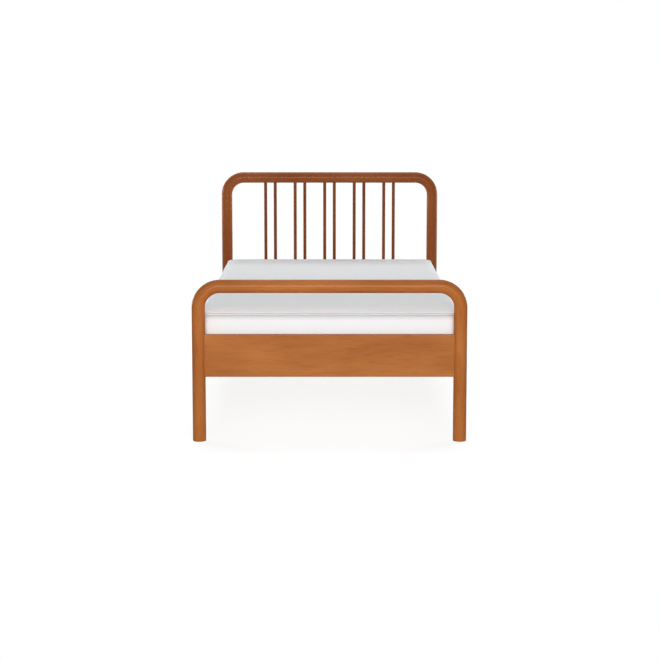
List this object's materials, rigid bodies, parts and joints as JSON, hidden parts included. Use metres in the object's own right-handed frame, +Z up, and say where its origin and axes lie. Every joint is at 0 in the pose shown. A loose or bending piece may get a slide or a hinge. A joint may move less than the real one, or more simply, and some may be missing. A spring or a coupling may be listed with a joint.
{
  "type": "bed",
  "caption": "Single bed with bent round-wood hoop headboard and footboard, paired spindles, panelled ends, hook-on side rails, slatted base and piped mattress.",
  "frame": {"origin": "on the floor under the middle of the bed", "axes": "+X to the right seen from the foot, +Y from foot to head, +Z up"},
  "size_m": [1.051, 2.036, 0.917],
  "materials": {
    "stained_wood": "satin",
    "slat_wood": "matte",
    "dowel_wood": "matte",
    "fitting_steel": "satin",
    "screw_steel": "satin",
    "glide_nylon": "matte",
    "tape_webbing": "matte",
    "mattress_fabric": "matte",
    "piping_fabric": "matte",
    "spring_felt": "matte",
    "pocket_fabric": "matte"
  },
  "bodies": {
    "frame": {"footboard_left_leg": "stained_wood", "footboard_right_leg": "stained_wood", "headboard_left_post": "stained_wood", "headboard_right_post": "stained_wood", "footboard_left_elbow": "stained_wood", "footboard_right_elbow": "stained_wood", "headboard_left_elbow": "stained_wood", "headboard_right_elbow": "stained_wood", "footboard_top_rail": "stained_wood", "headboard_top_rail": "stained_wood", "footboard_panel": "stained_wood", "headboard_panel": "stained_wood", "headboard_spindle_01": "stained_wood", "headboard_spindle_02": "stained_wood", "headboard_spindle_03": "stained_wood", "headboard_spindle_04": "stained_wood", "headboard_spindle_05": "stained_wood", "headboard_spindle_06": "stained_wood", "headboard_spindle_07": "stained_wood", "headboard_spindle_08": "stained_wood", "headboard_spindle_09": "stained_wood", "headboard_spindle_10": "stained_wood", "left_side_rail": "stained_wood", "right_side_rail": "stained_wood", "left_slat_cleat": "slat_wood", "right_slat_cleat": "slat_wood", "footboard_hoop_dowels": "dowel_wood", "footboard_panel_dowels": "dowel_wood", "headboard_hoop_dowels": "dowel_wood", "headboard_panel_dowels": "dowel_wood", "post_slot_plates": "fitting_steel", "rail_hook_plates": "fitting_steel", "bracket_screws": "screw_steel", "cleat_screws": "screw_steel", "floor_glides": "glide_nylon"},
    "slat_deck": {"slat_01": "slat_wood", "slat_02": "slat_wood", "slat_03": "slat_wood", "slat_04": "slat_wood", "slat_05": "slat_wood", "slat_06": "slat_wood", "slat_07": "slat_wood", "slat_08": "slat_wood", "slat_09": "slat_wood", "slat_10": "slat_wood", "slat_11": "slat_wood", "slat_12": "slat_wood", "slat_13": "slat_wood", "slat_14": "slat_wood", "left_slat_tape": "tape_webbing", "right_slat_tape": "tape_webbing"},
    "mattress": {"mattress_cover": "mattress_fabric", "mattress_top_piping": "piping_fabric", "mattress_bottom_piping": "piping_fabric", "mattress_top_pad": "spring_felt", "mattress_bottom_pad": "spring_felt", "mattress_spring_pockets": "pocket_fabric"}
  },
  "joints": [
    {"name": "slat_deck_lift", "type": "slide", "parent": "frame", "child": "slat_deck", "axis": [0, 0, 1], "range_m": [0, 0.4]},
    {"name": "mattress_lift", "type": "slide", "parent": "slat_deck", "child": "mattress", "axis": [0, 0, 1], "range_m": [0, 0.4]}
  ]
}
